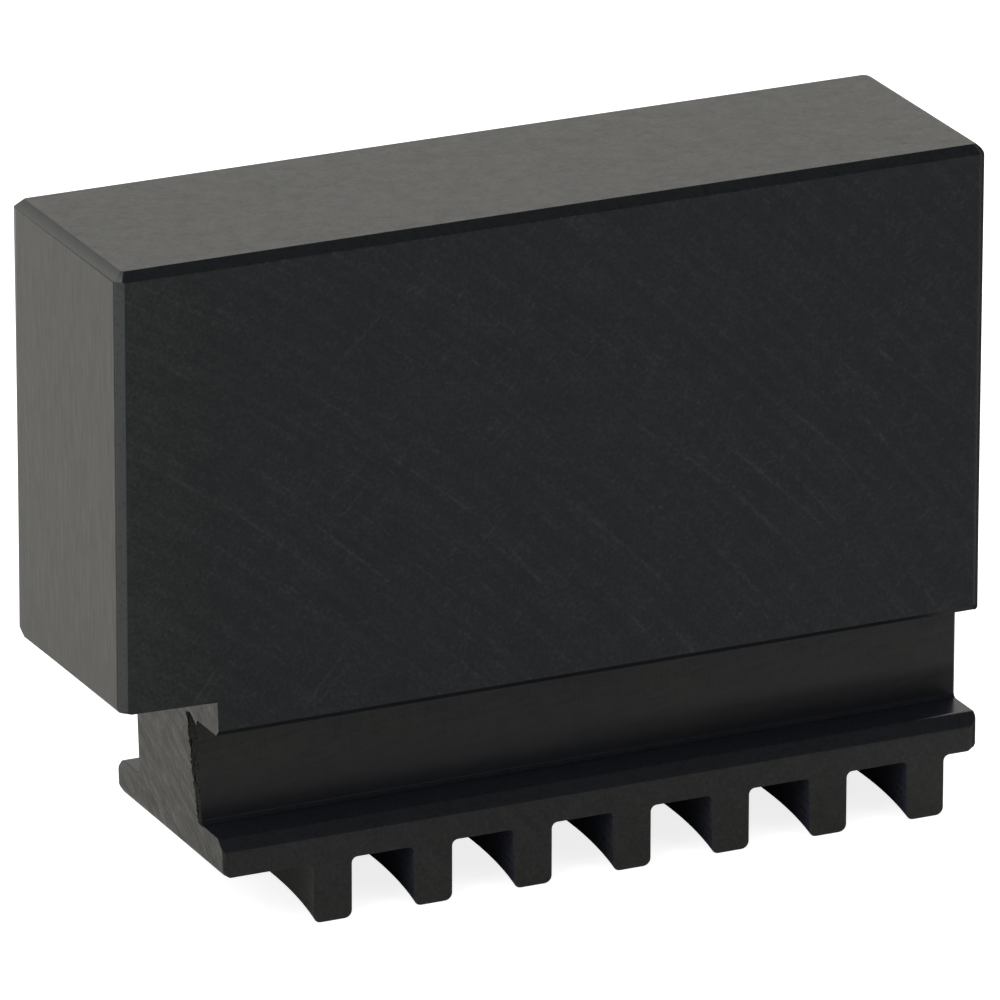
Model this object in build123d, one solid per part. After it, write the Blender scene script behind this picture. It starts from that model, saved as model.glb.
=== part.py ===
"""Soft block jaw for a 160 mm three-jaw scroll chuck: one piece of case-hardening steel, in millimetres.

X runs from the clamping end (-X, towards the chuck's centre) to the outer end, Y across the jaw, and Z up
from the tips of the scroll teeth. The origin is the middle of the jaw's length and width, at the tips.
"""

import os
from math import radians, sqrt, tan

from build123d import *

# Block
JAW_LENGTH = 69.0
JAW_WIDTH = 19.0
JAW_HEIGHT = 51.8
EDGE_CHAMFER = 0.65  # along and across the top
CORNER_CHAMFER = 0.55  # down the four upright corners

# Guide groove on each side, between the foot and the block
GROOVE_DEPTH = 4.0
GROOVE_HEIGHT = 8.1
LIP_CHAMFER = 0.5  # lower edge of the block, over the groove
FOOT_CHAMFER = 0.85  # upper edge of the foot, under the groove
GROOVE_CORNER_RADIUS = 0.3  # left by the cutter in both inner corners

# Foot, with the milled relief that leaves the clamping end overhanging
FOOT_THICKNESS = 2.85
OVERHANG_REACH = 7.55  # from the clamping end to the relief, at the overhang's underside
OVERHANG_RISE = 2.75  # underside of the overhang above the groove's ceiling
RELIEF_LEAN = 1.8  # degrees that the relief leans in towards the foot
OVERHANG_TILT = 1.0  # degrees that the overhang's underside rises towards the clamping end

# Scroll teeth: arcs about points on the clamping end's side
TOOTH_PITCH = 8.0
TOOTH_HEIGHT = 4.65
TOOTH_THICKNESS = 4.0  # at the middle of the width
INNER_FLANK_RADIUS = 50.0  # hollow side, towards the chuck's centre
OUTER_FLANK_RADIUS = 25.0  # bulging side
FIRST_TOOTH = 15.95  # from the clamping end to the first hollow flank, at the middle of the width
END_LAND = 0.6  # least flat left between the last tooth and the outer end
ROOT_RADIUS = 0.45
TIP_RADIUS = 0.3

# How far each cutter runs past the metal that it removes
CUTTER_OVERRUN = 1.0

# Heights, from the tips of the teeth up
FOOT_UNDERSIDE = TOOTH_HEIGHT
GROOVE_FLOOR = FOOT_UNDERSIDE + FOOT_THICKNESS
GROOVE_CEILING = GROOVE_FLOOR + GROOVE_HEIGHT
OVERHANG_UNDERSIDE = GROOVE_CEILING + OVERHANG_RISE

# Places along and across the jaw
CLAMPING_END = -JAW_LENGTH / 2
OUTER_END = JAW_LENGTH / 2
SIDE = JAW_WIDTH / 2
NECK_SIDE = SIDE - GROOVE_DEPTH


def blank():
    """The sawn and ground block, full height, with its top edges and upright corners broken."""
    block = Pos(0, 0, JAW_HEIGHT / 2) * Box(JAW_LENGTH, JAW_WIDTH, JAW_HEIGHT)
    block = chamfer(block.edges().filter_by(Axis.Z), CORNER_CHAMFER)
    return chamfer(block.faces().sort_by(Axis.Z)[-1].edges(), EDGE_CHAMFER)


def guide_groove_cutter():
    """What the guide groove takes out of the +Y side, from end to end, with both chamfers on its mouth."""
    mouth = SIDE + CUTTER_OVERRUN
    outline = Polyline(
        (mouth, GROOVE_FLOOR - FOOT_CHAMFER - CUTTER_OVERRUN),
        (SIDE - FOOT_CHAMFER, GROOVE_FLOOR),
        (NECK_SIDE, GROOVE_FLOOR),
        (NECK_SIDE, GROOVE_CEILING),
        (SIDE - LIP_CHAMFER, GROOVE_CEILING),
        (mouth, GROOVE_CEILING + LIP_CHAMFER + CUTTER_OVERRUN),
        close=True,
    )
    section = Plane.YZ * make_face(outline)
    section = fillet(section.vertices().group_by(Axis.Y)[0], GROOVE_CORNER_RADIUS)
    return extrude(section, JAW_LENGTH / 2 + CUTTER_OVERRUN, both=True)


def relief_cutter():
    """What the milled relief takes out below the overhang, its face leaning and its underside tilted."""
    face_at_overhang = CLAMPING_END + OVERHANG_REACH
    start = CLAMPING_END - CUTTER_OVERRUN
    lean = (OVERHANG_UNDERSIDE + CUTTER_OVERRUN) * tan(radians(RELIEF_LEAN))
    rise = (OVERHANG_REACH + CUTTER_OVERRUN) * tan(radians(OVERHANG_TILT))
    outline = Polyline(
        (start, -CUTTER_OVERRUN),
        (start, OVERHANG_UNDERSIDE + rise),
        (face_at_overhang, OVERHANG_UNDERSIDE),
        (face_at_overhang + lean, -CUTTER_OVERRUN),
        close=True,
    )
    return extrude(Plane.XZ * make_face(outline), SIDE + CUTTER_OVERRUN, both=True)


def flank(x, radius):
    """Plan view of a tooth flank: an arc that crosses the jaw's middle at x, its centre on the -X side."""
    reach = SIDE + CUTTER_OVERRUN
    fall = radius - sqrt(radius**2 - reach**2)
    return ThreePointArc((x - fall, -reach), (x, 0), (x - fall, reach))


def tooth_places():
    """Where the hollow flank of each tooth crosses the middle of the width, as far as the foot has room."""
    first = CLAMPING_END + FIRST_TOOTH
    room = OUTER_END - END_LAND - TOOTH_THICKNESS - first
    count = int(room // TOOTH_PITCH) + 1
    return [first + index * TOOTH_PITCH for index in range(count)]


def gap_cutter(left, right):
    """The space between two plan curves, from below the tips up to the foot, its root corners rounded."""
    ends = [Line(left @ end, right @ end) for end in (0, 1)]
    plan = make_face(Curve() + [left, right, *ends])
    space = extrude(Pos(0, 0, -CUTTER_OVERRUN) * plan, FOOT_UNDERSIDE + CUTTER_OVERRUN)
    roots = space.faces().sort_by(Axis.Z)[-1].edges().filter_by(GeomType.CIRCLE)
    return fillet(roots, ROOT_RADIUS)


def scroll_gap_cutters():
    """Every gap of the scroll teeth, with the open stretches before the first tooth and after the last."""
    reach = SIDE + CUTTER_OVERRUN
    starts = tooth_places()
    hollow = [flank(x, INNER_FLANK_RADIUS) for x in starts]
    bulging = [flank(x + TOOTH_THICKNESS, OUTER_FLANK_RADIUS) for x in starts]
    before = Line(*[(CLAMPING_END - CUTTER_OVERRUN, side) for side in (-reach, reach)])
    after = Line(*[(OUTER_END + CUTTER_OVERRUN, side) for side in (-reach, reach)])
    return [gap_cutter(left, right) for left, right in zip([before, *bulging], [*hollow, after])]


def soft_jaw():
    """The finished jaw: grooves first, then the scroll teeth, then the relief, whose edges stay sharp."""
    groove = guide_groove_cutter()
    jaw = blank() - groove - mirror(groove, Plane.XZ)
    for gap in scroll_gap_cutters():
        jaw -= gap
    tips = jaw.faces().filter_by(Axis.Z).group_by(Axis.Z)[0].edges().filter_by(GeomType.CIRCLE)
    jaw = fillet(tips, TIP_RADIUS)
    jaw -= relief_cutter()
    jaw.label = "soft_jaw"
    return jaw


os.makedirs("parts", exist_ok=True)
export_step(soft_jaw(), "parts/soft_jaw.step")
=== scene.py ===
"""Soft jaw of a scroll chuck: one block of blackened steel with its ground, milled and broken surfaces."""

import logging
import math
import random
from collections.abc import Sequence
from dataclasses import dataclass, field
from enum import Enum

import bmesh
import bpy
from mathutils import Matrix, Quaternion, Vector


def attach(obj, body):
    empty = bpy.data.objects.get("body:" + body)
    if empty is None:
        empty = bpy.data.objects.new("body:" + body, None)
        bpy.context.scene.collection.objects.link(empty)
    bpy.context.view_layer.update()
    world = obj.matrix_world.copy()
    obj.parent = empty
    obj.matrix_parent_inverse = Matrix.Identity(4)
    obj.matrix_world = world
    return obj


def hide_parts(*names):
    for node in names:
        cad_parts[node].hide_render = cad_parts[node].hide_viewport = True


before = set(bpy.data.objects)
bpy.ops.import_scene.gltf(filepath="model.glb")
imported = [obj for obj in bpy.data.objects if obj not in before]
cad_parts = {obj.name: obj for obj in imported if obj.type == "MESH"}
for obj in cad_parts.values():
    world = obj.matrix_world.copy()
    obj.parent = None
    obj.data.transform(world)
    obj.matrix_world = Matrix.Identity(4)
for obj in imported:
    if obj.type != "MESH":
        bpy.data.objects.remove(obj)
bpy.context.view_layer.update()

LOG = logging.getLogger("soft_jaw_scene")
MM = 0.001
UM = MM / 1000

Colour = tuple[float, float, float]
Socket = bpy.types.NodeSocket


class Zone(Enum):
    """A stretch of the jaw's surface that one tool finished."""

    SIDE = "ground_side"
    FOOT_SIDE = "foot_side"
    TOP = "ground_top"
    CLAMPING_END = "clamping_end"
    OUTER_END = "outer_end"
    LONG_EDGE = "long_edge_chamfer"
    END_EDGE = "end_edge_chamfer"
    UPRIGHT_EDGE = "upright_edge_chamfer"
    OUTER_EDGE = "outer_edge_chamfer"
    GROOVE_WALL = "groove_wall"
    GROOVE_CORNER = "groove_corner"
    GROOVE_FLOOR = "groove_floor"
    RELIEF = "milled_relief"
    TORN_CORNER = "torn_corner"
    FIRST_FLANK = "first_tooth_flank"
    TOOTH = "tooth_flank"


class MarkPlane(Enum):
    """The two axes of the jaw that a finish's marks lie in."""

    LENGTH_HEIGHT = ("X", "Z")
    LENGTH_WIDTH = ("X", "Y")
    WIDTH_HEIGHT = ("Y", "Z")


@dataclass(frozen=True)
class Lines:
    """Straight tool marks, each a little lighter or darker than the steel around it.

    angle is in degrees from the plane's first axis. sparse is the share of the surface left unmarked.
    """

    angle: float
    length_mm: float
    width_mm: float
    contrast: float
    sparse: float = 0.0
    depth_um: float = 0.0


@dataclass(frozen=True)
class Arcs:
    """Tool marks that run in arcs about a point of the plane, as a cup wheel or an end mill leaves them."""

    centre_mm: tuple[float, float]
    length_mm: float
    width_mm: float
    contrast: float
    sparse: float = 0.0
    depth_um: float = 0.0


Mark = Lines | Arcs
Pattern = tuple[Socket, Mark]


@dataclass(frozen=True)
class Scratch:
    """One long scratch between two points of the plane, bowed to the right of its way."""

    start_mm: tuple[float, float]
    end_mm: tuple[float, float]
    width_mm: float
    contrast: float
    bow_mm: float = 0.0


@dataclass(frozen=True)
class Finish:
    """Black oxide on steel, with the marks of the tool that made the surface below it.

    sooty gives the heights in millimetres between which a surface goes from painted shade, a dark navy,
    to its own colour: painted shade and dark reflection low in the groove, on the tooth flanks towards their
    tips and along the top of the end chamfer. dull gives those between which its sheen comes back towards
    the outer end, and rubbed how much lighter it is by the clamping end.
    """

    name: str
    plane: MarkPlane
    colour: Colour = (0.0052, 0.0057, 0.0068)
    worn_colour: Colour = (0.021, 0.021, 0.020)
    tint: Colour = (0.0068, 0.0068, 0.0052)
    tint_share: float = 0.35
    roughness: float = 0.34
    gloss: float = 0.5
    grain: float = 0.45
    grain_um: float = 0.8
    clouds: float = 0.10
    mottle: float = 0.03
    painted_shade_heights: tuple[float, float] | None = None
    dull: tuple[float, float] | None = None
    rubbed: float = 0.0
    marks: tuple[Mark, ...] = ()
    scratches: tuple[Scratch, ...] = ()


@dataclass(frozen=True)
class Unevenness:
    """A noise over the steel: its features per millimetre, and the part of its range that shows."""

    scale: float
    detail: float
    roughness: float = 0.5
    low: float = 0.30
    high: float = 0.70


# How every finish varies over the jaw
GRAIN = Unevenness(scale=3.6, detail=3.0, roughness=0.75)
CLOUDS = Unevenness(scale=0.8, detail=3.0, roughness=0.65)
BREAKS = Unevenness(scale=1.3, detail=1.0, low=0.38, high=0.58)
TINT_PATCHES = Unevenness(scale=0.075, detail=3.0, roughness=0.6, low=0.48, high=0.62)
GRAIN_BREAKS = (-0.7, 0.7, 0.2, 1.0)  # how the grain breaks up sparse marks: its range, then their share
MARKS = Unevenness(scale=1.0, detail=1.5)
MARK_SOFTNESS = 0.10
SCRATCH_LEAST = 0.4  # the share of a scratch's contrast that nothing breaks up
SCRATCH_TAPER = 0.2  # the share of a scratch's length over which each end fades

# Levels of wear, 1 on the mean, and the colour of steel that nothing has touched
UNTOUCHED_LEVEL = 0.2
MEAN_LEVEL = 1.0
BARE_LEVEL = 3.0
UNTOUCHED: Colour = (0.0028, 0.0029, 0.0032)

# Places along the jaw in millimetres between which an effect changes
RUBBED_TINT_STRETCH = (-33.0, -16.0)
RUBBED_TINT = 0.9
RUBBED_STRETCH = (-34.0, -27.0)
DULL_STRETCH = (-4.0, 20.0)
DULL_SHARE = 0.55

IOR_OF_OXIDE = 1.36
# Painted shade, not soot: the dark navy that surfaces blend to by height, in place of shadow and dark
# reflection
PAINTED_SHADE: Colour = (0.0070, 0.0075, 0.0100)

FINISHES: dict[Zone, Finish] = {
    Zone.SIDE: Finish(
        name="ground_side",
        plane=MarkPlane.LENGTH_HEIGHT,
        worn_colour=(0.0210, 0.0218, 0.0216),
        tint=(0.0060, 0.0078, 0.0052),
        tint_share=0.5,
        grain=0.95,
        grain_um=1.2,
        clouds=0.35,
        rubbed=0.65,
        marks=(
            Arcs(centre_mm=(-115.0, -90.0), length_mm=11.0, width_mm=0.75, contrast=0.32),
            Arcs(centre_mm=(-115.0, -90.0), length_mm=14.0, width_mm=0.34, contrast=1.3, sparse=0.69),
            Lines(angle=47.0, length_mm=5.0, width_mm=0.28, contrast=1.2, sparse=0.71),
            Lines(angle=-20.0, length_mm=0.40, width_mm=0.34, contrast=1.1, sparse=0.72),
        ),
        scratches=(
            Scratch((4.4, 35.7), (20.3, 21.5), bow_mm=-0.75, width_mm=0.45, contrast=1.5),
            Scratch((0.3, 30.1), (9.9, 20.5), bow_mm=-0.15, width_mm=0.42, contrast=1.4),
            Scratch((12.4, 32.7), (21.5, 24.2), bow_mm=-0.15, width_mm=0.36, contrast=1.5),
            Scratch((25.0, 38.0), (31.8, 32.0), width_mm=0.30, contrast=1.7),
            Scratch((17.9, 34.4), (26.1, 26.9), width_mm=0.42, contrast=0.9),
            Scratch((-14.5, 35.8), (-5.4, 28.4), bow_mm=-0.2, width_mm=0.32, contrast=1.7),
            Scratch((-5.4, 28.4), (0.8, 20.9), width_mm=0.36, contrast=1.3),
            Scratch((-27.4, 34.3), (-17.5, 25.9), width_mm=0.28, contrast=1.9),
            Scratch((-20.0, 31.5), (-12.6, 24.7), width_mm=0.30, contrast=1.9),
            Scratch((-13.3, 46.5), (-17.6, 42.5), width_mm=0.34, contrast=1.4),
            Scratch((-15.3, 35.1), (-18.4, 32.1), width_mm=0.30, contrast=1.2),
            Scratch((-1.6, 37.9), (-6.7, 33.6), width_mm=0.30, contrast=1.2),
            Scratch((-27.4, 24.7), (-29.1, 22.9), width_mm=0.24, contrast=2.8),
            Scratch((-26.7, 21.3), (-29.0, 18.4), width_mm=0.34, contrast=2.4),
            Scratch((-26.5, 20.7), (-28.2, 18.3), width_mm=0.26, contrast=2.2),
            Scratch((-16.8, 20.8), (-20.6, 16.3), width_mm=0.40, contrast=1.7),
            Scratch((-16.6, 19.8), (-19.0, 17.0), width_mm=0.34, contrast=1.5),
            Scratch((-19.2, 20.2), (-21.6, 17.5), width_mm=0.28, contrast=1.0),
        ),
    ),
    Zone.FOOT_SIDE: Finish(
        name="foot_side",
        plane=MarkPlane.LENGTH_HEIGHT,
        colour=(0.0080, 0.0080, 0.0077),
        tint_share=0.6,
        grain=1.0,
        grain_um=1.2,
        clouds=0.35,
        marks=(
            Arcs(centre_mm=(-115.0, -90.0), length_mm=9.0, width_mm=0.60, contrast=0.26),
            Lines(angle=47.0, length_mm=3.0, width_mm=0.30, contrast=1.0, sparse=0.70),
        ),
    ),
    Zone.TOP: Finish(
        name="ground_top",
        plane=MarkPlane.LENGTH_WIDTH,
        roughness=0.36,
        grain=0.9,
        grain_um=2.0,
        clouds=0.8,
        mottle=0.07,
        marks=(
            Lines(angle=8.0, length_mm=0.8, width_mm=0.45, contrast=0.8, depth_um=1.2),
            Lines(angle=24.0, length_mm=3.0, width_mm=0.14, contrast=1.2, sparse=0.76),
        ),
    ),
    Zone.CLAMPING_END: Finish(
        name="clamping_end",
        plane=MarkPlane.WIDTH_HEIGHT,
        gloss=0.52,
        tint=(0.0090, 0.0084, 0.0056),
        tint_share=0.8,
        grain=0.9,
        grain_um=0.8,
        clouds=0.4,
        marks=(
            Lines(angle=90.0, length_mm=2.4, width_mm=0.32, contrast=1.1, depth_um=1.2),
            Lines(angle=87.0, length_mm=4.0, width_mm=1.00, contrast=0.7, depth_um=1.6),
        ),
    ),
    Zone.OUTER_END: Finish(
        name="outer_end",
        plane=MarkPlane.WIDTH_HEIGHT,
        grain=0.8,
        grain_um=1.6,
        marks=(Lines(angle=90.0, length_mm=12.0, width_mm=0.30, contrast=1.2, depth_um=0.8),),
    ),
    Zone.LONG_EDGE: Finish(
        name="long_edge_chamfer",
        plane=MarkPlane.LENGTH_HEIGHT,
        colour=(0.0138, 0.0148, 0.0170),
        tint_share=0.0,
        roughness=0.36,
        gloss=0.02,
        grain=0.3,
        grain_um=0.2,
    ),
    Zone.END_EDGE: Finish(
        name="end_edge_chamfer",
        plane=MarkPlane.WIDTH_HEIGHT,
        # painted highlight: a colour far lighter than the oxide's, in place of the light that this chamfer
        # reflects
        colour=(0.0760, 0.0800, 0.0780),
        tint_share=0.0,
        roughness=0.36,
        # painted shade: darker towards the top face, in place of the chamfer's darker reflection there
        painted_shade_heights=(52.1, 51.25),
        grain=0.3,
        grain_um=0.4,
    ),
    Zone.UPRIGHT_EDGE: Finish(
        name="upright_edge_chamfer",
        plane=MarkPlane.WIDTH_HEIGHT,
        # painted highlight: a colour far lighter than the oxide's, in place of the lamp light that this
        # chamfer reflects
        colour=(0.0560, 0.0580, 0.0575),
        tint_share=0.0,
        roughness=0.36,
        gloss=0.4,
        grain=0.3,
        grain_um=0.4,
    ),
    Zone.OUTER_EDGE: Finish(
        name="outer_edge_chamfer",
        plane=MarkPlane.WIDTH_HEIGHT,
        # painted light: with no sheen, a colour far lighter than the oxide's stands in for the light this
        # chamfer reflects
        colour=(0.0360, 0.0360, 0.0365),
        tint_share=0.0,
        roughness=0.6,
        gloss=0.0,
        grain=0.3,
        grain_um=0.4,
    ),
    Zone.GROOVE_WALL: Finish(
        name="groove_wall",
        plane=MarkPlane.LENGTH_HEIGHT,
        colour=(0.0104, 0.0097, 0.0076),
        tint=(0.0150, 0.0128, 0.0070),
        tint_share=0.8,
        gloss=0.52,
        # painted shade: the wall turns dark navy towards the groove floor, in place of the shadow and dark
        # reflection under the lip
        painted_shade_heights=(7.0, 12.4),
        dull=(9.5, 10.5),
        grain=0.5,
        grain_um=0.6,
        clouds=0.35,
        marks=(
            Lines(angle=90.0, length_mm=3.0, width_mm=0.22, contrast=0.25),
            Lines(angle=8.0, length_mm=4.0, width_mm=0.40, contrast=0.40),
        ),
    ),
    Zone.GROOVE_CORNER: Finish(
        name="groove_corner",
        plane=MarkPlane.LENGTH_HEIGHT,
        colour=(0.0126, 0.0134, 0.0176),
        tint_share=0.0,
        roughness=0.6,
        gloss=0.0,
        grain=0.3,
        grain_um=0.4,
    ),
    Zone.GROOVE_FLOOR: Finish(
        name="groove_floor",
        plane=MarkPlane.LENGTH_WIDTH,
        colour=(0.0104, 0.0112, 0.0156),
        tint_share=0.0,
        roughness=0.26,
        gloss=0.4,
        grain=0.15,
        grain_um=0.2,
    ),
    Zone.RELIEF: Finish(
        name="milled_relief",
        plane=MarkPlane.WIDTH_HEIGHT,
        roughness=0.36,
        gloss=0.355,
        tint=(0.0076, 0.0072, 0.0048),
        grain=1.0,
        grain_um=3.6,
        clouds=1.6,
        mottle=0.08,
        marks=(
            Arcs(centre_mm=(12.2, -17.4), length_mm=1.8, width_mm=1.00, contrast=2.6, depth_um=14.0),
            Arcs(centre_mm=(12.2, -17.4), length_mm=1.0, width_mm=0.42, contrast=1.6, depth_um=4.0),
            Arcs(
                centre_mm=(10.0, -24.0), length_mm=1.4, width_mm=0.40, contrast=1.8,
                sparse=0.58, depth_um=2.0,
            ),
        ),
    ),
    Zone.TORN_CORNER: Finish(
        name="torn_corner",
        plane=MarkPlane.WIDTH_HEIGHT,
        # painted light: the colour, lighter than the oxide's, lifts the recess out of its deep shade; the
        # recess and its roughness keep it darker than the relief
        colour=(0.0340, 0.0370, 0.0310),
        worn_colour=(0.050, 0.052, 0.046),
        tint_share=0.0,
        roughness=0.8,
        gloss=0.0,
        grain=0.9,
        grain_um=6.0,
        marks=(Lines(angle=70.0, length_mm=0.8, width_mm=0.30, contrast=0.6, depth_um=6.0),),
    ),
    Zone.FIRST_FLANK: Finish(
        name="first_tooth_flank",
        plane=MarkPlane.WIDTH_HEIGHT,
        # painted light: a colour about ten times the oxide's lifts the flank out of the first gap's shade
        colour=(0.0560, 0.0565, 0.0535),
        roughness=0.50,
        gloss=0.03,
        marks=(Lines(angle=0.0, length_mm=6.0, width_mm=0.20, contrast=0.4),),
    ),
    Zone.TOOTH: Finish(
        name="tooth_flank",
        plane=MarkPlane.WIDTH_HEIGHT,
        # painted light: a colour about ten times the oxide's lifts the flanks out of the shade between the
        # teeth
        colour=(0.0620, 0.0650, 0.0840),
        tint_share=0.0,
        roughness=0.60,
        gloss=0.0,
        # painted shade: darker towards the tips, against the light that the floor throws up into the gaps
        painted_shade_heights=(-4.0, 4.65),
        marks=(Lines(angle=0.0, length_mm=6.0, width_mm=0.20, contrast=0.3),),
    ),
}


class NodeSketch:
    """A material's or the world's node tree, written as sums of sockets."""

    def __init__(self, tree: bpy.types.NodeTree) -> None:
        """Starts on an empty tree."""
        self.tree = tree
        tree.nodes.clear()

    def node(self, kind: str, **settings: object) -> bpy.types.Node:
        """Adds a node.

        Args:
            kind: Blender's class name of the node, without "ShaderNode".
            **settings: attributes to set on it.

        Returns:
            The new node.
        """
        made = self.tree.nodes.new("ShaderNode" + kind)
        for name, value in settings.items():
            setattr(made, name, value)
        return made

    def feed(self, target: Socket, source: Socket | float | Sequence[float]) -> None:
        """Links a socket to a target, or sets the target's own value.

        Args:
            target: an input socket.
            source: an output socket, or a value for the target.
        """
        if isinstance(source, bpy.types.NodeSocket):
            self.tree.links.new(source, target)
        else:
            target.default_value = source

    def math(self, operation: str, *terms: Socket | float) -> Socket:
        """One Math node on up to three terms.

        Args:
            operation: Blender's name of the operation.
            *terms: what it works on.

        Returns:
            The new node's output.
        """
        made = self.node("Math", operation=operation)
        for target, term in zip(made.inputs, terms):
            self.feed(target, term)
        return made.outputs[0]

    def remap(
        self, value: Socket, low: float, high: float, to_low: Socket | float = 0.0, to_high: float = 1.0
    ) -> Socket:
        """Maps low..high to to_low..to_high, clamped.

        Args:
            value: what is mapped.
            low: where its range starts.
            high: where it ends.
            to_low: the result at low.
            to_high: the result at high.

        Returns:
            The new node's output.
        """
        made = self.node("MapRange", clamp=True)
        for target, term in zip(made.inputs, (value, low, high, to_low, to_high)):
            self.feed(target, term)
        return made.outputs[0]

    def noise(self, vector: Socket, scale: float, detail: float, roughness: float = 0.5) -> Socket:
        """A noise texture's factor, about 0.5 on the mean.

        Args:
            vector: the place that it is read at.
            scale: features per unit of the place.
            detail: how many finer layers it has.
            roughness: how strong the finer layers are.

        Returns:
            The new node's output.
        """
        made = self.node("TexNoise", noise_dimensions="3D")
        self.feed(made.inputs["Vector"], vector)
        self.feed(made.inputs["Scale"], scale)
        self.feed(made.inputs["Detail"], detail)
        self.feed(made.inputs["Roughness"], roughness)
        return made.outputs["Fac"]

    def combine(self, x: Socket | float, y: Socket | float, z: Socket | float) -> Socket:
        """A vector of three numbers.

        Args:
            x: the first.
            y: the second.
            z: the third.

        Returns:
            The new node's output.
        """
        made = self.node("CombineXYZ")
        for target, term in zip(made.inputs, (x, y, z)):
            self.feed(target, term)
        return made.outputs[0]

    def blend(self, share: Socket | float, first: Socket | Colour, second: Socket | Colour) -> Socket:
        """A colour from first, at share 0, to second, at share 1.

        Args:
            share: how much of second there is.
            first: the colour at 0.
            second: the colour at 1.

        Returns:
            The new node's output.
        """
        made = self.node("Mix", data_type="RGBA", clamp_factor=True)
        self.feed(made.inputs["Factor"], share)
        for name, value in (("A", first), ("B", second)):
            target = next(s for s in made.inputs if s.name == name and s.type == "RGBA")
            self.feed(target, (*value, 1.0) if isinstance(value, tuple) else value)
        return next(s for s in made.outputs if s.type == "RGBA")


class OxideShader:
    """Builds the material of one finish, with its marks in millimetres on the jaw."""

    def __init__(self, finish: Finish) -> None:
        """Keeps the finish and opens an empty material for it.

        Args:
            finish: the finish that the material gets.
        """
        self.finish = finish
        self.material = bpy.data.materials.new(finish.name)
        self.material.use_nodes = True
        self.sketch = NodeSketch(self.material.node_tree)
        self.axes: dict[str, Socket] = {}
        self.place: Socket | None = None

    def build(self) -> bpy.types.Material:
        """Makes the whole node tree.

        Returns:
            The finished material.
        """
        sketch, finish = self.sketch, self.finish
        self._lay_out_millimetres()
        grain = self._uneven(GRAIN, -1.0, 1.0)
        clouds = self._uneven(CLOUDS, -1.0, 1.0)
        breaks = sketch.math("MULTIPLY", self._uneven(BREAKS, 0.0, 1.0), sketch.remap(grain, *GRAIN_BREAKS))
        marks = [self._marks(mark, breaks) for mark in finish.marks]
        colour = self._worn(self._tinted(), self._wear(grain, clouds, breaks, marks))
        # painted shade: the colour goes to the dark navy by height, where the finish gives heights for it
        if finish.painted_shade_heights:
            colour = sketch.blend(sketch.remap(self.axes["Z"], *finish.painted_shade_heights), PAINTED_SHADE, colour)
        shader = sketch.node("BsdfPrincipled")
        sketch.feed(shader.inputs["Base Color"], colour)
        sketch.feed(shader.inputs["Roughness"], self._roughness(grain, clouds))
        sketch.feed(shader.inputs["Normal"], self._bump(grain, marks))
        shader.inputs["IOR"].default_value = IOR_OF_OXIDE
        sketch.feed(shader.inputs["Specular IOR Level"], self._gloss())
        output = sketch.node("OutputMaterial")
        sketch.feed(output.inputs["Surface"], shader.outputs[0])
        return self.material

    def _lay_out_millimetres(self) -> None:
        """Makes the place on the jaw, in millimetres, and its three axes."""
        sketch = self.sketch
        where = sketch.node("TexCoord").outputs["Object"]
        scaled = sketch.node("VectorMath", operation="SCALE")
        sketch.feed(scaled.inputs[0], where)
        sketch.feed(scaled.inputs["Scale"], 1.0 / MM)
        self.place = scaled.outputs[0]
        split = sketch.node("SeparateXYZ")
        sketch.feed(split.inputs[0], self.place)
        self.axes = {name: split.outputs[name] for name in "XYZ"}

    def _uneven(self, noise: Unevenness, least: float, most: float) -> Socket:
        """A noise over the jaw, from least to most."""
        pattern = self.sketch.noise(self.place, noise.scale, noise.detail, noise.roughness)
        return self.sketch.remap(pattern, noise.low, noise.high, least, most)

    def _tinted(self) -> Socket:
        """The oxide's own colour, tinted in patches and, where it is rubbed, by the clamping end.

        Returns:
            The colour before any wear.
        """
        sketch, finish = self.sketch, self.finish
        tint = self._uneven(TINT_PATCHES, 0.0, finish.tint_share)
        if finish.rubbed:
            by_end = sketch.remap(self.axes["X"], *RUBBED_TINT_STRETCH, RUBBED_TINT, 0.0)
            tint = sketch.math("MAXIMUM", tint, by_end)
        return sketch.blend(tint, finish.colour, finish.tint)

    def _plane(self) -> tuple[Socket, Socket]:
        """The two coordinates that the finish's marks lie in."""
        first, second = self.finish.plane.value
        return self.axes[first], self.axes[second]

    def _marks(self, mark: Mark, breaks: Socket) -> Pattern:
        """Makes the pattern of one set of tool marks.

        Args:
            mark: the set's own numbers.
            breaks: a pattern from 0 to 1 that breaks up marks that are sparse.

        Returns:
            The pattern, from -1 to 1, or from 0 to 1 where it is sparse, and the set again.
        """
        sketch = self.sketch
        across, along = self._lines_frame(mark) if isinstance(mark, Lines) else self._arcs_frame(mark)
        stretched = sketch.combine(
            sketch.math("DIVIDE", along, mark.length_mm),
            sketch.math("DIVIDE", across, mark.width_mm),
            mark.length_mm,
        )
        pattern = sketch.noise(stretched, MARKS.scale, MARKS.detail)
        if mark.sparse:
            whole = sketch.remap(pattern, mark.sparse - MARK_SOFTNESS, mark.sparse)
            return sketch.math("MULTIPLY", whole, breaks), mark
        return sketch.remap(pattern, MARKS.low, MARKS.high, -1.0, 1.0), mark

    def _lines_frame(self, mark: Lines) -> tuple[Socket, Socket]:
        """Distances across and along straight marks.

        Args:
            mark: the set of marks.

        Returns:
            The distance across, then along, in millimetres.
        """
        sketch = self.sketch
        first, second = self._plane()
        cosine, sine = math.cos(math.radians(mark.angle)), math.sin(math.radians(mark.angle))
        along = sketch.math(
            "ADD", sketch.math("MULTIPLY", first, cosine), sketch.math("MULTIPLY", second, sine)
        )
        across = sketch.math(
            "SUBTRACT", sketch.math("MULTIPLY", second, cosine), sketch.math("MULTIPLY", first, sine)
        )
        return across, along

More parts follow.
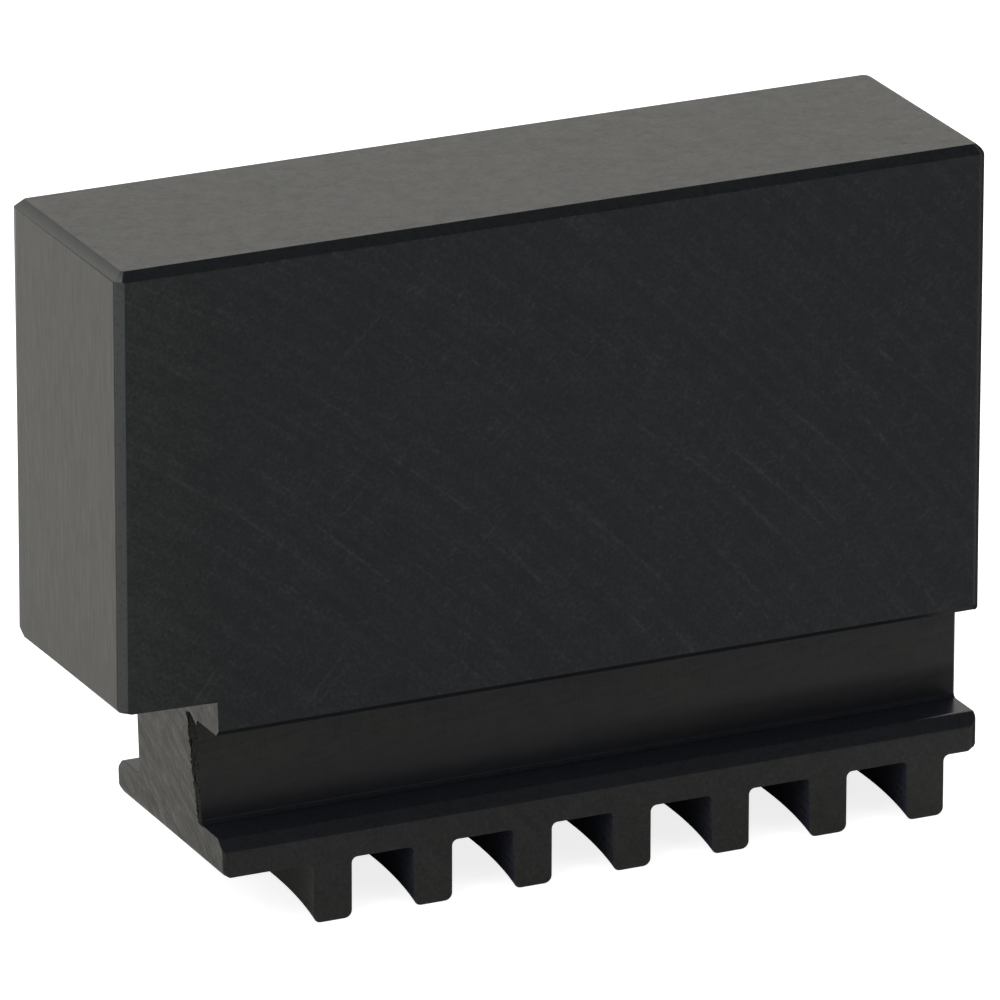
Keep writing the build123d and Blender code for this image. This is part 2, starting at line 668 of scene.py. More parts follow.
    def _arcs_frame(self, mark: Arcs) -> tuple[Socket, Socket]:
        """Distances across and along marks that run in arcs.

        Args:
            mark: the set of marks.

        Returns:
            The distance across, then along, in millimetres.
        """
        sketch = self.sketch
        first, second = self._plane()
        east = sketch.math("SUBTRACT", first, mark.centre_mm[0])
        north = sketch.math("SUBTRACT", second, mark.centre_mm[1])
        squares = [sketch.math("MULTIPLY", part, part) for part in (east, north)]
        radius = sketch.math("SQRT", sketch.math("ADD", *squares))
        reach = math.hypot(*mark.centre_mm)
        along = sketch.math("MULTIPLY", sketch.math("ARCTAN2", north, east), reach)
        return radius, along

    def _scratched(self, level: Socket, breaks: Socket) -> Socket:
        """Adds the near side's own scratches to the level of wear.

        Args:
            level: the wear without them.
            breaks: a pattern from 0 to 1 that breaks them up.

        Returns:
            The wear with them.
        """
        sketch = self.sketch
        total: Socket | float = 0.0
        for scratch in self.finish.scratches:
            total = sketch.math("MULTIPLY_ADD", self._scratch(scratch), scratch.contrast, total)
        near = sketch.math("LESS_THAN", self.axes["Y"], 0.0)
        shown = sketch.math("MULTIPLY_ADD", breaks, 1.0 - SCRATCH_LEAST, SCRATCH_LEAST)
        broken = sketch.math("MULTIPLY", shown, near)
        return sketch.math("MULTIPLY_ADD", total, broken, level)

    def _scratch(self, scratch: Scratch) -> Socket:
        """One scratch's pattern, from 0 beside it to 1 along its middle.

        Args:
            scratch: its ends, bow and width.

        Returns:
            The pattern.
        """
        sketch = self.sketch
        first, second = self._plane()
        start = Vector(scratch.start_mm)
        run = Vector(scratch.end_mm) - start
        step, side = run / run.length_squared, Vector((-run.y, run.x)).normalized()
        share = sketch.math("MULTIPLY_ADD", second, step.y, -start.dot(step))
        share = sketch.math("MULTIPLY_ADD", first, step.x, share)
        across = sketch.math("MULTIPLY_ADD", second, side.y, -start.dot(side))
        across = sketch.math("MULTIPLY_ADD", first, side.x, across)
        if scratch.bow_mm:
            bow = sketch.math("MULTIPLY", share, sketch.math("SUBTRACT", 1.0, share))
            across = sketch.math("MULTIPLY_ADD", bow, 4.0 * scratch.bow_mm, across)
        line = sketch.math("MULTIPLY_ADD", sketch.math("ABSOLUTE", across), -2.0 / scratch.width_mm, 1.0)
        line.node.use_clamp = True
        middle = sketch.math("ABSOLUTE", sketch.math("SUBTRACT", share, 0.5))
        ends = sketch.math("MULTIPLY_ADD", middle, -1.0 / SCRATCH_TAPER, 0.5 / SCRATCH_TAPER)
        ends.node.use_clamp = True
        return sketch.math("MULTIPLY", line, ends)

    def _wear(self, grain: Socket, clouds: Socket, breaks: Socket, marks: Sequence[Pattern]) -> Socket:
        """The level of wear, about 1 on the mean: the sum of the grain, the clouds and the tool marks.

        Args:
            grain: the fine pattern, from -1 to 1.
            clouds: the coarse pattern, from -1 to 1.
            breaks: what breaks up scratches, from 0 to 1.
            marks: the tool marks' patterns.

        Returns:
            The level.
        """
        sketch, finish = self.sketch, self.finish
        level = sketch.math("MULTIPLY_ADD", grain, finish.grain, 1.0)
        level = sketch.math("MULTIPLY_ADD", clouds, finish.clouds, level)
        for pattern, mark in marks:
            level = sketch.math("MULTIPLY_ADD", pattern, mark.contrast, level)
        if finish.scratches:
            level = self._scratched(level, breaks)
        if finish.rubbed:
            rubbed = sketch.remap(self.axes["X"], *RUBBED_STRETCH, finish.rubbed, 0.0)
            level = sketch.math("ADD", level, rubbed)
        return level

    def _worn(self, colour: Socket, level: Socket) -> Socket:
        """Darkens the oxide where it is less worn and lightens it where it is more.

        Args:
            colour: the oxide's colour.
            level: the level of wear.

        Returns:
            The new colour.
        """
        sketch, finish = self.sketch, self.finish
        darker = sketch.blend(sketch.remap(level, UNTOUCHED_LEVEL, MEAN_LEVEL), UNTOUCHED, colour)
        return sketch.blend(sketch.remap(level, MEAN_LEVEL, BARE_LEVEL), darker, finish.worn_colour)

    def _roughness(self, grain: Socket, clouds: Socket) -> Socket:
        """Roughness about the finish's own, with its grain and clouds.

        Args:
            grain: the fine pattern.
            clouds: the coarse pattern.

        Returns:
            The roughness.
        """
        sketch = self.sketch
        level = sketch.math("MULTIPLY_ADD", grain, self.finish.mottle, self.finish.roughness)
        return sketch.math("MULTIPLY_ADD", clouds, self.finish.mottle, level)

    def _gloss(self) -> Socket | float:
        """The finish's own gloss, less of it low down towards the outer end where the finish is dull.

        Returns:
            The specular level, as one number where the finish isn't dull.
        """
        sketch, finish = self.sketch, self.finish
        if finish.dull is None:
            return finish.gloss
        least = sketch.remap(self.axes["X"], *DULL_STRETCH, finish.gloss, DULL_SHARE * finish.gloss)
        return sketch.remap(self.axes["Z"], *finish.dull, least, finish.gloss)

    def _bump(self, grain: Socket, marks: Sequence[Pattern]) -> Socket:
        """Relief of the grain and of the tool marks, in micrometres.

        Args:
            grain: the fine pattern.
            marks: the tool marks' patterns.

        Returns:
            The normal.
        """
        sketch = self.sketch
        height = sketch.math("MULTIPLY", grain, self.finish.grain_um)
        for pattern, mark in marks:
            if mark.depth_um:
                height = sketch.math("MULTIPLY_ADD", pattern, mark.depth_um, height)
        bump = sketch.node("Bump")
        bump.inputs["Strength"].default_value = 1.0
        bump.inputs["Distance"].default_value = UM
        sketch.feed(bump.inputs["Height"], height)
        return bump.outputs[0]


@dataclass(frozen=True)
class JawSizes:
    """Sizes of the jaw in millimetres; heights are from the tips of the scroll teeth."""

    length: float = 69.0
    width: float = 19.0
    height: float = 51.8
    edge_chamfer: float = 0.65
    corner_chamfer: float = 0.55
    neck_side: float = 5.5
    groove_floor: float = 7.5
    groove_ceiling: float = 15.6
    groove_corner: float = 0.3
    lip_chamfer: float = 0.5
    foot_chamfer: float = 0.85
    foot_underside: float = 4.65
    overhang_reach: float = 7.55
    overhang_underside: float = 18.35
    overhang_tilt: float = 1.0
    relief_lean: float = 1.8
    teeth: int = 7
    tooth_pitch: float = 8.0
    tooth_thickness: float = 4.0
    hollow_radius: float = 50.0
    bulging_radius: float = 25.0
    first_tooth: float = 15.95
    root_radius: float = 0.45

    @property
    def end(self) -> float:
        """The outer end's place along the jaw."""
        return self.length / 2

    @property
    def side(self) -> float:
        """The far side's place across the jaw."""
        return self.width / 2


@dataclass(frozen=True)
class EdgeRounds:
    """How far back from an edge, in millimetres, deburring, handling and wear have rounded it.

    overhang_far_side holds the radii at the clamping end, overhang_corner from it, and at the relief.
    largest is the one that the others are shares of.
    """

    plain: float = 0.05
    tooth_tip: float = 0.55
    foot_end: float = 0.46
    block_end: float = 0.35
    relief_foot: float = 0.55
    foot_corner: float = 0.28
    overhang_end: float = 0.40
    overhang_near_side: float = 0.12
    foot_far_side: float = 0.75
    foot_far_chamfer: float = 0.30
    soft_chamfer: float = 0.08
    outer_chamfer: float = 0.25
    front_chamfer: float = 0.16
    far_chamfer: float = 0.37
    foot_chamfer: float = 0.22
    overhang_far_side: tuple[float, float, float] = (2.4, 1.1, 1.3)
    overhang_corner: float = 2.0
    largest: float = 0.75


@dataclass(frozen=True)
class TornCorner:
    """The ragged, dark recess that the cutter tore along the relief's edge with the groove."""

    narrow: float = 0.45
    widening: float = 0.17
    top: float = 15.8
    step: float = 0.22
    raggedness: float = 0.20
    least: float = 0.10
    overlap: float = 0.40
    shoulder: float = 0.90
    shoulder_reach: float = 1.20
    depth: float = 0.07
    seed: int = 7

    def outline(self, corner_y: float, bottom_z: float) -> list[tuple[float, float]]:
        """The recess's outline across the jaw and up, starting beyond the corner.

        Args:
            corner_y: where the groove's wall lies across the jaw.
            bottom_z: the groove floor's height.

        Returns:
            Points in millimetres.
        """
        chance = random.Random(self.seed)
        beyond = corner_y - self.overlap
        points = [(beyond, self.top - self.shoulder), (beyond, bottom_z - self.least)]
        steps = int((self.top - bottom_z) / self.step)
        for i in range(steps + 1):
            rise = i * self.step
            width = self.narrow + self.widening * rise + chance.uniform(-1.0, 1.0) * self.raggedness
            points.append((corner_y + max(width, self.least), bottom_z + rise))
        points.append((corner_y + self.shoulder_reach, self.top))
        return points


@dataclass
class SoftJaw:
    """The jaw's visible mesh: a chamfered block, cut in the order in which the real one was milled.

    slack, close, apart and near are distances in millimetres, from the least to the most, within which a
    face or an edge still belongs to a surface. straight, tilted and parallel are cosines for the same use.
    rounded_turn and broken_turn are the turns in degrees from which an edge is rounded or broken. Edges less
    than filed_height over the overhang's underside are the overhang's own, and those less than filed_width
    from its far side are left as the file's cutter made them.
    """

    sizes: JawSizes = field(default_factory=JawSizes)
    rounds: EdgeRounds = field(default_factory=EdgeRounds)
    torn: TornCorner = field(default_factory=TornCorner)
    node: str = "soft_jaw"
    slot: str = "black_oxide_steel"
    stations: int = 43
    arc_steps: int = 6
    round_steps: int = 5
    broken_steps: int = 2
    overrun: float = 1.0
    slack: float = 0.02
    close: float = 0.1
    apart: float = 0.3
    near: float = 1.0
    straight: float = 0.985
    tilted: float = 0.3
    parallel: float = 0.9
    rounded_turn: float = 20.0
    broken_turn: float = 32.0
    filed_height: float = 2.6
    filed_width: float = 2.5
    zones: tuple[Zone, ...] = tuple(Zone)

    def build(self) -> bpy.types.Object:
        """Makes the mesh and dresses it.

        Returns:
            The finished piece, riding on the part's one body.
        """
        piece = self._mill()
        self._dress(piece.data)
        self._break_edges(piece)
        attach(piece, "root")
        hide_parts(self.node)
        return piece

    def _mill(self) -> bpy.types.Object:
        """Cuts the grooves, the scroll gaps and the relief out of the block.

        Returns:
            The milled block as an object of the scene.
        """
        block = as_object("blank", self._blank())
        cutters = [
            as_object("groove_cutter", self._groove_cutters()),
            as_object("scroll_cutter", self._gap_cutters()),
            as_object("relief_cutter", self._relief_cutter()),
            as_object("overhang_cutter", self._overhang_cutter()),
            as_object("torn_corner_cutter", self._torn_cutter()),
        ]
        for cutter in cutters:
            cut = block.modifiers.new(cutter.name, "BOOLEAN")
            cut.operation, cut.solver, cut.object = "DIFFERENCE", "EXACT", cutter
        depsgraph = bpy.context.evaluated_depsgraph_get()
        mesh = bpy.data.meshes.new_from_object(block.evaluated_get(depsgraph))
        mesh.name = "jaw_block"
        for done in (block, *cutters):
            bpy.data.objects.remove(done)
        return in_scene("jaw_block", mesh)

    def _blank(self) -> bmesh.types.BMesh:
        """The ground block, its upright corners and its top edges chamfered.

        Returns:
            The block's mesh.
        """
        s = self.sizes
        body = self._octagon(s.end, s.side, s.corner_chamfer)
        inner = s.corner_chamfer + s.edge_chamfer * (math.sqrt(2.0) - 2.0)
        top = self._octagon(s.end - s.edge_chamfer, s.side - s.edge_chamfer, inner)
        rings = [
            [(x, y, 0.0) for x, y in body],
            [(x, y, s.height - s.edge_chamfer) for x, y in body],
            [(x, y, s.height) for x, y in top],
        ]
        work = bmesh.new()
        loft(work, rings)
        return work

    @staticmethod
    def _octagon(half_x: float, half_y: float, cut: float) -> list[tuple[float, float]]:
        """A rectangle's outline with its four corners cut off, counterclockwise.

        Args:
            half_x: half its length.
            half_y: half its width.
            cut: how far each corner is cut back.

        Returns:
            Its eight points.
        """
        x, y = half_x - cut, half_y - cut
        return [
            (half_x, -y), (half_x, y), (x, half_y), (-x, half_y),
            (-half_x, y), (-half_x, -y), (-x, -half_y), (x, -half_y),
        ]

    def _groove_cutters(self) -> bmesh.types.BMesh:
        """What the two guide grooves take out, with the chamfers on their mouths.

        Returns:
            The cutter's mesh.
        """
        s, over = self.sizes, self.overrun
        outline = [
            (s.side + over, s.groove_floor - s.foot_chamfer - over),
            (s.side - s.foot_chamfer, s.groove_floor),
            *self._corner((s.neck_side, s.groove_floor), s.groove_corner, 270.0, 180.0),
            *self._corner((s.neck_side, s.groove_ceiling), s.groove_corner, 180.0, 90.0),
            (s.side - s.lip_chamfer, s.groove_ceiling),
            (s.side + over, s.groove_ceiling + s.lip_chamfer + over),
        ]
        work = bmesh.new()
        for hand in (1.0, -1.0):
            ends = (-s.end - over, s.end + over)
            loft(work, [[(x, hand * y, z) for y, z in outline] for x in ends])
        return work

    def _corner(
        self, at: tuple[float, float], radius: float, start: float, stop: float
    ) -> list[tuple[float, float]]:
        """An arc in place of a cutter's sharp corner.

        Args:
            at: the sharp corner.
            radius: the arc's radius.
            start: the direction from the arc's centre to its first point, in degrees.
            stop: the direction to its last point.

        Returns:
            The arc's points.
        """
        steps = self.arc_steps
        turns = [math.radians(start + (stop - start) * i / steps) for i in range(steps + 1)]
        middle = math.radians((start + stop) / 2)
        centre = (
            at[0] - radius * math.copysign(1.0, math.cos(middle)),
            at[1] - radius * math.copysign(1.0, math.sin(middle)),
        )
        return [(centre[0] + radius * math.cos(turn), centre[1] + radius * math.sin(turn)) for turn in turns]

    def _gap_cutters(self) -> bmesh.types.BMesh:
        """The spaces before, between and after the scroll teeth, their roots rounded.

        Returns:
            The cutter's mesh.
        """
        s, over = self.sizes, self.overrun
        reach = s.side + over
        work = bmesh.new()
        for gap in range(s.teeth + 1):
            rings = []
            for station in range(self.stations):
                y = reach * (2 * station / (self.stations - 1) - 1)
                left = self._flank(gap - 1, s.bulging_radius, s.tooth_thickness, y) if gap else -s.end - over
                right = self._flank(gap, s.hollow_radius, 0.0, y) if gap < s.teeth else s.end + over
                roots = [
                    *self._corner((left, s.foot_underside), s.root_radius, 180.0, 90.0),
                    *self._corner((right, s.foot_underside), s.root_radius, 90.0, 0.0),
                ]
                rings.append([(x, y, z) for x, z in ((left, -over), *roots, (right, -over))])
            loft(work, rings)
        return work

    def _flank(self, tooth: int, radius: float, offset: float, y: float) -> float:
        """Where a flank lies along the jaw at a place across it; its arc's centre is on the -X side.

        Args:
            tooth: the tooth's number from the clamping end, from 0.
            radius: the arc's radius.
            offset: how far the flank lies behind the tooth's start.
            y: the place across the jaw.

        Returns:
            The place along the jaw.
        """
        s = self.sizes
        start = -s.end + s.first_tooth + tooth * s.tooth_pitch + offset
        return start - radius + math.sqrt(radius * radius - y * y)

    def _relief_x(self, z: float) -> float:
        """Where the relief's face lies along the jaw at a height.

        Args:
            z: the height.

        Returns:
            The place along the jaw.
        """
        s = self.sizes
        lean = math.tan(math.radians(s.relief_lean))
        return -s.end + s.overhang_reach + (s.overhang_underside - z) * lean

    def _relief_cutter(self) -> bmesh.types.BMesh:
        """What the relief takes out below the overhanging clamping end.

        Returns:
            The cutter's mesh.
        """
        s, over = self.sizes, self.overrun
        rise = (s.overhang_reach + over) * math.tan(math.radians(s.overhang_tilt))
        outline = [
            (-s.end - over, -over),
            (-s.end - over, s.overhang_underside + rise),
            (self._relief_x(s.overhang_underside), s.overhang_underside),
            (self._relief_x(-over), -over),
        ]
        work = bmesh.new()
        loft(work, [[(x, y, z) for x, z in outline] for y in (-s.side - over, s.side + over)])
        return work

    def _overhang_cutter(self) -> bmesh.types.BMesh:
        """What rounds the overhang's lower edge on the far side, most at the clamping end's corner.

        Returns:
            The cutter's mesh.
        """
        s, over = self.sizes, self.overrun
        root, corner = self._relief_x(s.overhang_underside), -s.end + self.rounds.overhang_corner
        rings = []
        for x, radius in zip((-s.end - over, corner, root), self.rounds.overhang_far_side):
            low = s.overhang_underside + (root - x) * math.tan(math.radians(s.overhang_tilt))
            arc = [(s.side - y, low + z) for y, z in self._corner((0.0, 0.0), radius, 180.0, 270.0)]
            under = low - over
            below = [(s.side - radius, under), (s.side + over, under), (s.side + over, low + radius)]
            rings.append([(x, y, z) for y, z in (*arc, *below)])
        work = bmesh.new()
        loft(work, rings)
        return work

    def _torn_cutter(self) -> bmesh.types.BMesh:
        """What is torn out of the relief along the near groove.

        Returns:
            The cutter's mesh.
        """
        s = self.sizes
        outline = self.torn.outline(-s.neck_side, s.groove_floor)
        work = bmesh.new()
        start = self._relief_x(s.overhang_underside) - self.overrun
        loft(work, [
            [(start, y, z) for y, z in outline],
            [(self._relief_x(z) + self.torn.depth, y, z) for y, z in outline],
        ])
        return work

    def _dress(self, mesh: bpy.types.Mesh) -> None:
        """Gives each face the finish of the tool that made it.

        Args:
            mesh: the milled block's mesh.
        """
        mesh.materials.clear()
        for zone in self.zones:
            mesh.materials.append(OxideShader(FINISHES[zone]).build())
        for face in mesh.polygons:
            face.use_smooth = True
            face.material_index = self.zones.index(self._zone(Vector(face.center) / MM, Vector(face.normal)))

    def _zone(self, place: Vector, looks: Vector) -> Zone:
        """Which tool finished a face, by where it lies and which way it looks.

        Args:
            place: the face's middle in millimetres.
            looks: its normal.

        Returns:
            The zone that the face belongs to.
        """
        s, slack = self.sizes, self.slack
        if looks.z > self.straight and place.z > s.height - slack:
            return Zone.TOP
        if abs(looks.y) > self.straight and abs(place.y) > s.side - slack:
            return Zone.SIDE if place.z > s.groove_ceiling else Zone.FOOT_SIDE
        if looks.x < -self.straight and place.x < -s.end + slack:
            return Zone.CLAMPING_END
        if looks.x > self.straight and place.x > s.end - slack:
            return Zone.OUTER_END
        if place.z < s.foot_underside + slack and place.x > self._relief_x(0.0) + self.apart:
            return Zone.FIRST_FLANK if place.x < -s.end + s.first_tooth + self.apart else Zone.TOOTH
        off_relief = place.x - self._relief_x(place.z)
        if abs(off_relief) < slack or (looks.z < -self.straight and place.z > s.groove_ceiling + self.near):
            return Zone.RELIEF
        if 0.0 < off_relief < self.torn.depth + slack:
            return Zone.TORN_CORNER
        if place.z < s.groove_ceiling + slack and abs(place.y) < s.neck_side + s.groove_corner:
            return Zone.GROOVE_WALL if abs(looks.y) > self.straight else Zone.GROOVE_CORNER
        if abs(looks.z) > self.straight:
            return Zone.GROOVE_FLOOR
        if looks.x > self.tilted:
            return Zone.OUTER_EDGE
        if looks.x < -self.tilted:
            return Zone.END_EDGE if looks.z > self.tilted else Zone.UPRIGHT_EDGE
        return Zone.LONG_EDGE

    def _break_edges(self, piece: bpy.types.Object) -> None:
        """Rounds the worn edges first, then takes the sharpness off every edge that is left.

        Args:
            piece: the milled and dressed block.
        """
        mesh = piece.data
        work = bmesh.new()
        work.from_mesh(mesh)
        weights = work.edges.layers.float.new("bevel_weight_edge")
        for edge in work.edges:
            if edge.is_manifold and edge.calc_face_angle_signed(0.0) > math.radians(self.rounded_turn):
                edge[weights] = self._rounding(edge) / self.rounds.largest
        work.to_mesh(mesh)
        work.free()
        self._bevel(piece, "worn_edges", "WEIGHT", self.rounds.largest, self.round_steps)
        broken = self._bevel(piece, "broken_edges", "ANGLE", self.rounds.plain, self.broken_steps)
        broken.angle_limit = math.radians(self.broken_turn)
        piece.modifiers.new("flat_faces", "WEIGHTED_NORMAL")

    @staticmethod
    def _bevel(
        piece: bpy.types.Object, name: str, limit: str, width: float, steps: int
    ) -> bpy.types.Modifier:
        """Adds a bevel.

        Args:
            piece: what it works on.
            name: what it is called.
            limit: Blender's name of the way in which it picks its edges.
            width: how far back from an edge it starts, in millimetres.
            steps: how many strips it makes of an edge.

        Returns:
            The bevel.
        """
        bevel = piece.modifiers.new(name, "BEVEL")
        bevel.limit_method, bevel.offset_type = limit, "OFFSET"
        bevel.width, bevel.segments = width * MM, steps
        bevel.use_clamp_overlap = False
        return bevel

    def _rounding(self, edge: bmesh.types.BMEdge) -> float:
        """How far back an edge is rounded, by where it lies and which way it runs.

        Args:
            edge: an edge that juts out.

        Returns:
            Millimetres, or 0 where the edge is only broken.
        """
        s, rounds = self.sizes, self.rounds
        first, second = (vert.co / MM for vert in edge.verts)
        place, way = (first + second) / 2, (second - first).normalized()
        across, along, upright = (abs(part) > self.parallel for part in (way.y, way.x, way.z))
        far, by_floor = place.y > s.side - self.near, place.z < s.groove_floor + self.slack
        if place.z < self.slack:
            return rounds.tooth_tip if across else 0.0
        if place.x > s.end - self.near:
            return self._outer_end_rounding(place, across, along)
        relief = self._relief_x(s.overhang_underside) - self.apart
        if place.z < s.overhang_underside + self.filed_height and place.x < relief:
            return self._overhang_rounding(place)
        low = place.z < s.foot_underside + self.close
        if across and low and abs(place.x - self._relief_x(place.z)) < self.close:
            return rounds.relief_foot
        if upright and place.y < -s.side + self.close and s.foot_underside < place.z < s.groove_floor:
            return rounds.foot_corner
        if far and along and place.z < s.groove_floor + self.close:
            return rounds.foot_far_side if low else rounds.foot_far_chamfer
        if place.x < -s.end + self.near and upright:
            return rounds.far_chamfer if place.y > 0.0 else rounds.front_chamfer
        if along and by_floor and not low and place.y < -s.side + self.near:
            return rounds.foot_chamfer
        if s.height - s.edge_chamfer - self.slack < place.z < s.height - self.slack:
            return rounds.soft_chamfer if across else (rounds.front_chamfer if along else 0.0)
        return 0.0

    def _outer_end_rounding(self, place: Vector, across: bool, along: bool) -> float:
        """How far back an edge by the outer end is rounded.

        Args:
            place: the edge's middle in millimetres.
            across: whether it runs across the jaw.
            along: whether it runs along the jaw.

        Returns:
            Millimetres, or 0 where the edge is only broken.
        """
        s, rounds = self.sizes, self.rounds
        if place.z > s.groove_ceiling + self.near:
            return rounds.outer_chamfer
        if place.z < s.foot_underside + self.slack:
            return 0.0 if along else rounds.foot_end
        if place.z < s.groove_floor + self.slack:
            return rounds.foot_chamfer
        return rounds.block_end if across else rounds.outer_chamfer

    def _overhang_rounding(self, place: Vector) -> float:
        """How far back a lower edge of the overhang is rounded, where the file hasn't done it.

        Args:
            place: the edge's middle in millimetres.

        Returns:
            Millimetres, or 0 where the edge is only broken.
        """
        s, rounds = self.sizes, self.rounds
        if place.y > s.side - self.filed_width or place.z > s.overhang_underside + self.apart:
            return 0.0
        by_end = place.x < -s.end + s.corner_chamfer + self.close
        return rounds.overhang_end if by_end else rounds.overhang_near_side


@dataclass(frozen=True)
class SoftBox:
    """A large soft lamp, aimed at the jaw."""

    name: str
    azimuth: float
    elevation: float
    distance: float
    width: float
    height: float
    power: float

    def build(self, aim: Vector) -> bpy.types.Object:
        """Hangs the lamp.

        Args:
            aim: the point that it looks at.

        Returns:
            The lamp's object.
        """
        data = bpy.data.lights.new(self.name, "AREA")
        data.shape = "RECTANGLE"
        data.size, data.size_y = self.width, self.height
        data.energy = self.power
        lamp = in_scene(self.name, data)
        away = direction(self.azimuth, self.elevation)
        lamp.location = aim + away * self.distance
        lamp.rotation_mode = "QUATERNION"
        lamp.rotation_quaternion = (-away).to_track_quat("-Z", "Y")
        return lamp


@dataclass
class Studio:
    """A pale floor in white surroundings that dim towards the camera, with soft lamps and a dark card.

    floor_dims and sky_dims tell between which places they dim: metres across the jaw, and the Y of a
    direction.
    """

    floor_reach: float = 6.0
    floor_drop: float = 0.00005
    floor_colour: float = 0.80
    floor_glow: float = 0.82
    ambient: float = 0.45
    sheen_behind: Colour = (1.0, 0.98, 0.915)
    sheen_in_front: Colour = (0.51, 0.53, 0.57)
    floor_sheen: float = 1.45
    floor_dims: tuple[float, float] = (0.0, -0.04)
    sky_dims: tuple[float, float] = (0.0, -0.5)
    card_reach: float = 0.45
    card_place: tuple[float, float, float] = (0.26, -0.24, 0.62)
    lamps: tuple[SoftBox, ...] = (
        SoftBox("key_lamp", -70.0, 38.0, 1.3, 0.9, 0.9, 6.0),
        SoftBox("fill_lamp", 40.0, 35.0, 1.6, 1.1, 1.1, 4.0),
        SoftBox("back_lamp", 150.0, 50.0, 1.6, 1.1, 0.9, 5.2),
    )

    def build(self, aim: Vector) -> None:
        """Sets up the floor, the surroundings, the card and the lamps round a point.

        Args:
            aim: the point that the lamps and the card look at.
        """
        self._floor()
        self._surroundings()
        self._dark_card(aim)
        for lamp in self.lamps:
            lamp.build(aim)
            LOG.info("lamp %s", lamp.name)

    def _rays(
        self, sketch: NodeSketch, space: str, dims: tuple[float, float]
    ) -> tuple[Socket, Socket, Socket]:
        """Tells the camera's rays and reflections apart, and makes the sheen that reflections see.

        Args:
            sketch: the tree that it is added to.
            space: the texture coordinate along whose Y the sheen dims, white behind the jaw.
            dims: where the sheen starts to dim, and where it is dimmest.

        Returns:
            1 for the camera's rays, 1 for reflections, and the sheen.
        """
        path = sketch.node("LightPath").outputs
        split = sketch.node("SeparateXYZ")
        sketch.feed(split.inputs[0], sketch.node("TexCoord").outputs[space])
        sheen = sketch.blend(sketch.remap(split.outputs["Y"], *dims), self.sheen_behind, self.sheen_in_front)
        glossy = sketch.math("MAXIMUM", path["Is Glossy Ray"], path["Is Transmission Ray"])
        return path["Is Camera Ray"], glossy, sheen

    def _floor(self) -> None:
        """A plain floor, lifted to white for the camera, with the jaw's shadow on it."""
        floor = plate("floor", self.floor_reach)
        floor.location.z = -self.floor_drop
        sketch = NodeSketch(floor.data.materials[0].node_tree)
        camera, glossy, sheen = self._rays(sketch, "Object", self.floor_dims)
        bright = sketch.node("VectorMath", operation="SCALE")
        sketch.feed(bright.inputs[0], sheen)
        sketch.feed(bright.inputs["Scale"], self.floor_sheen)
        surface = sketch.node("BsdfDiffuse")
        tone = sketch.blend(glossy, (self.floor_colour,) * 3, bright.outputs[0])
        sketch.feed(surface.inputs["Color"], tone)
        glow = sketch.node("Emission")
        sketch.feed(glow.inputs["Strength"], sketch.math("MULTIPLY", camera, self.floor_glow))
        both = sketch.node("AddShader")
        sketch.feed(both.inputs[0], surface.outputs[0])
        sketch.feed(both.inputs[1], glow.outputs[0])
        sketch.feed(sketch.node("OutputMaterial").inputs["Surface"], both.outputs[0])

    def _surroundings(self) -> None:
        """White for the camera, the sheen's tones for reflections, and an even light for the rest."""
        world = bpy.data.worlds.new("white_surroundings")
        world.use_nodes = True
        bpy.context.scene.world = world
        sketch = NodeSketch(world.node_tree)
        camera, glossy, sheen = self._rays(sketch, "Generated", self.sky_dims)
        seen = sketch.math("MAXIMUM", camera, glossy)
        background = sketch.node("Background")
        sketch.feed(background.inputs["Color"], sketch.blend(glossy, (1.0, 1.0, 1.0), sheen))
        sketch.feed(background.inputs["Strength"], sketch.remap(seen, 0.0, 1.0, self.ambient))
        sketch.feed(sketch.node("OutputWorld").inputs["Surface"], background.outputs[0])

    def _dark_card(self, aim: Vector) -> None:
        """A black card over the front, seen only in the steel's own sheen.

        Args:
            aim: the point that it faces.
        """
        card = plate("dark_card", self.card_reach)
        card.location = self.card_place
        card.rotation_mode = "QUATERNION"
        card.rotation_quaternion = (card.location - aim).to_track_quat("Z", "Y")
        sketch = NodeSketch(card.data.materials[0].node_tree)
        surface = sketch.node("BsdfDiffuse")
        surface.inputs["Color"].default_value = (0.0, 0.0, 0.0, 1.0)
        sketch.feed(sketch.node("OutputMaterial").inputs["Surface"], surface.outputs[0])
        card.visible_camera = card.visible_diffuse = card.visible_shadow = card.visible_transmission = False


@dataclass(frozen=True)
class PhotoCamera:
    """A long lens from the photograph's side, in metres and degrees."""

    azimuth: float = -25.157
    elevation: float = 20.222
    roll: float = 0.109
    distance: float = 0.90493
    lens_mm: float = 447.29
    sensor_mm: float = 36.0
    aim: tuple[float, float, float] = (-0.000193, 0.0, 0.026498)
    clip: tuple[float, float] = (0.01, 50.0)

    def build(self) -> bpy.types.Object:
        """Places the camera and makes it the scene's own.

        Returns:
            The camera's object.
        """
        data = bpy.data.cameras.new("photo_camera")
        data.lens, data.sensor_width = self.lens_mm, self.sensor_mm
        data.clip_start, data.clip_end = self.clip
        camera = in_scene("photo_camera", data)
        away = direction(self.azimuth, self.elevation)
        camera.location = Vector(self.aim) + away * self.distance
        camera.rotation_mode = "QUATERNION"
        turn = Quaternion(away, math.radians(self.roll))
        camera.rotation_quaternion = turn @ (-away).to_track_quat("-Z", "Y")
        bpy.context.scene.camera = camera
        return camera


def direction(azimuth: float, elevation: float) -> Vector:
    """The way from the jaw to a viewer; azimuth 0 is in front, on the -Y side, and 90 on the +X side."""
    turn, rise = math.radians(azimuth), math.radians(elevation)
    return Vector((math.sin(turn) * math.cos(rise), -math.cos(turn) * math.cos(rise), math.sin(rise)))


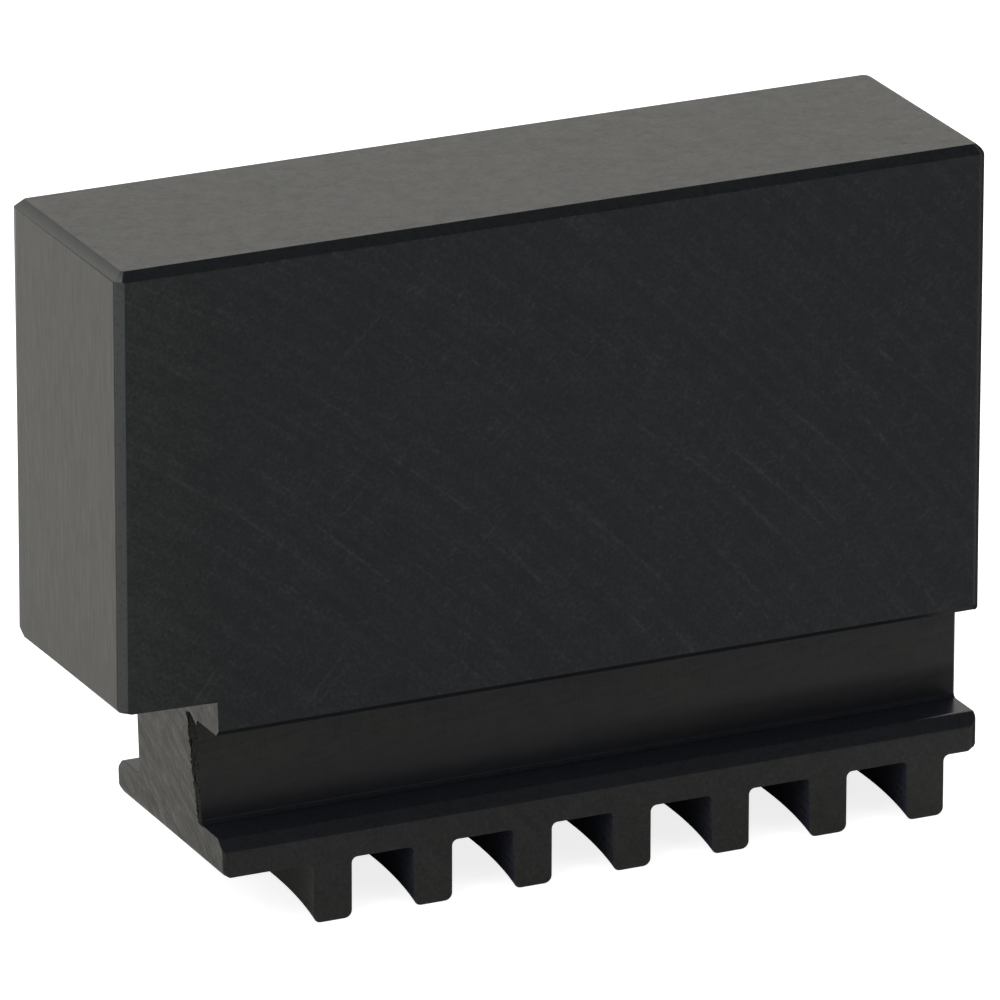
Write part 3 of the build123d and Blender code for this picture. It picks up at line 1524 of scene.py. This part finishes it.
def loft(work: bmesh.types.BMesh, rings: Sequence[Sequence[tuple[float, float, float]]]) -> None:
    """Adds a closed solid through like rings of points.

    Args:
        work: the mesh that it is added to.
        rings: each ring's points in millimetres, as many in each.
    """
    made = [[work.verts.new(Vector(point) * MM) for point in ring] for ring in rings]
    faces = [work.faces.new(made[0]), work.faces.new(made[-1])]
    for lower, upper in zip(made, made[1:]):
        for i in range(len(lower)):
            j = (i + 1) % len(lower)
            faces.append(work.faces.new((lower[i], lower[j], upper[j], upper[i])))
    bmesh.ops.recalc_face_normals(work, faces=faces)


def in_scene(name: str, data: bpy.types.ID) -> bpy.types.Object:
    """Adds an object to the scene.

    Args:
        name: what it is called.
        data: its mesh, light or camera.

    Returns:
        The new object.
    """
    made = bpy.data.objects.new(name, data)
    bpy.context.scene.collection.objects.link(made)
    return made


def as_object(name: str, work: bmesh.types.BMesh) -> bpy.types.Object:
    """Turns a mesh under construction into an object of the scene, and frees it.

    Args:
        name: what the object and its mesh are called.
        work: the mesh.

    Returns:
        The new object.
    """
    mesh = bpy.data.meshes.new(name)
    work.to_mesh(mesh)
    work.free()
    return in_scene(name, mesh)


def plate(name: str, reach: float) -> bpy.types.Object:
    """Makes a flat square for the stage, with an empty material of its own.

    Args:
        name: what the object, its mesh and its material are called.
        reach: half the side, in metres.

    Returns:
        The new object, flat on Z = 0.
    """
    mesh = bpy.data.meshes.new(name)
    corners = [(x * reach, y * reach, 0.0) for x, y in ((-1, -1), (1, -1), (1, 1), (-1, 1))]
    mesh.from_pydata(corners, [], [(0, 1, 2, 3)])
    material = bpy.data.materials.new(name)
    material.use_nodes = True
    mesh.materials.append(material)
    return in_scene(name, mesh)


def main() -> None:
    """Builds the jaw, the camera and the studio, in that order."""
    logging.basicConfig(level=logging.INFO, format="%(name)s: %(message)s")
    bpy.context.scene.view_settings.view_transform = "Standard"
    jaw = SoftJaw().build()
    LOG.info("piece %s: %d faces", jaw.name, len(jaw.data.polygons))
    camera = PhotoCamera()
    camera.build()
    Studio().build(Vector(camera.aim))


if __name__ == "__main__":
    main()
